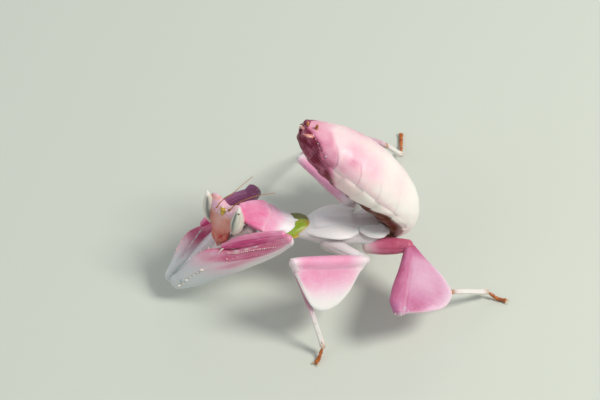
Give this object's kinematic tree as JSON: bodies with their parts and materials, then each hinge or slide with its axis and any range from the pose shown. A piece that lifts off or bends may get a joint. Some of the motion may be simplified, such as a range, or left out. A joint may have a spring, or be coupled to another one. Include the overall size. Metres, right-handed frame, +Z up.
{
  "type": "orchid mantis nymph figure",
  "caption": "Life-size still figure of an orchid mantis nymph standing on its four walking feet, forelegs folded and abdomen curled over its back.",
  "frame": {"origin": "middle of the figure's footprint at floor level, below the centre of its bounding box", "axes": "+Z up from the floor the feet stand on, +X toward the tail (the head looks toward -X), +Y toward the animal's own right side"},
  "size_m": [0.04, 0.0364, 0.0226],
  "materials": {
    "white_cuticle": "satin ivory-white cuticle",
    "pink_cuticle": "satin waxy pink cuticle",
    "pale_pink": "satin cream to pale pink cuticle",
    "deep_pink": "satin deep pink cuticle",
    "salmon_face": "satin salmon cuticle",
    "green_collar": "satin yellow-green cuticle",
    "eye_white": "glossy cream compound eye with grey streaks",
    "gold_ocelli": "glossy golden brown",
    "amber_horn": "satin amber horn",
    "crimson_tip": "satin crimson cuticle"
  },
  "bodies": {
    "root": {"abdomen_1": "pale_pink", "abdomen_2": "pale_pink", "abdomen_3": "pale_pink", "abdomen_4": "pale_pink", "abdomen_5": "pale_pink", "abdomen_6": "pale_pink", "abdomen_7": "pale_pink", "abdomen_8": "crimson_tip", "antenna_left": "amber_horn", "antenna_right": "amber_horn", "cercus_left": "amber_horn", "cercus_right": "amber_horn", "collar": "green_collar", "eye_left": "eye_white", "eye_right": "eye_white", "fore_coxa_left": "pale_pink", "fore_coxa_right": "pale_pink", "fore_femur_left": "pink_cuticle", "fore_femur_right": "pink_cuticle", "fore_tarsus_left": "pale_pink", "fore_tarsus_right": "pale_pink", "fore_tibia_left": "deep_pink", "fore_tibia_right": "deep_pink", "head": "salmon_face", "hind_coxa_left": "deep_pink", "hind_coxa_right": "deep_pink", "hind_femur_left": "pink_cuticle", "hind_femur_right": "pink_cuticle", "hind_tarsus_left": "amber_horn", "hind_tarsus_right": "amber_horn", "hind_tibia_left": "white_cuticle", "hind_tibia_right": "white_cuticle", "mesothorax": "white_cuticle", "metathorax": "white_cuticle", "mid_coxa_left": "white_cuticle", "mid_coxa_right": "white_cuticle", "mid_femur_left": "pink_cuticle", "mid_femur_right": "pink_cuticle", "mid_tarsus_left": "amber_horn", "mid_tarsus_right": "amber_horn", "mid_tibia_left": "white_cuticle", "mid_tibia_right": "white_cuticle", "mouthparts": "salmon_face", "neck": "pale_pink", "ocellar_crest": "gold_ocelli", "pronotum": "pink_cuticle", "prothorax": "pale_pink", "wing_pad_front_left": "white_cuticle", "wing_pad_front_right": "white_cuticle", "wing_pad_rear_left": "white_cuticle", "wing_pad_rear_right": "white_cuticle"}
  },
  "joints": []
}
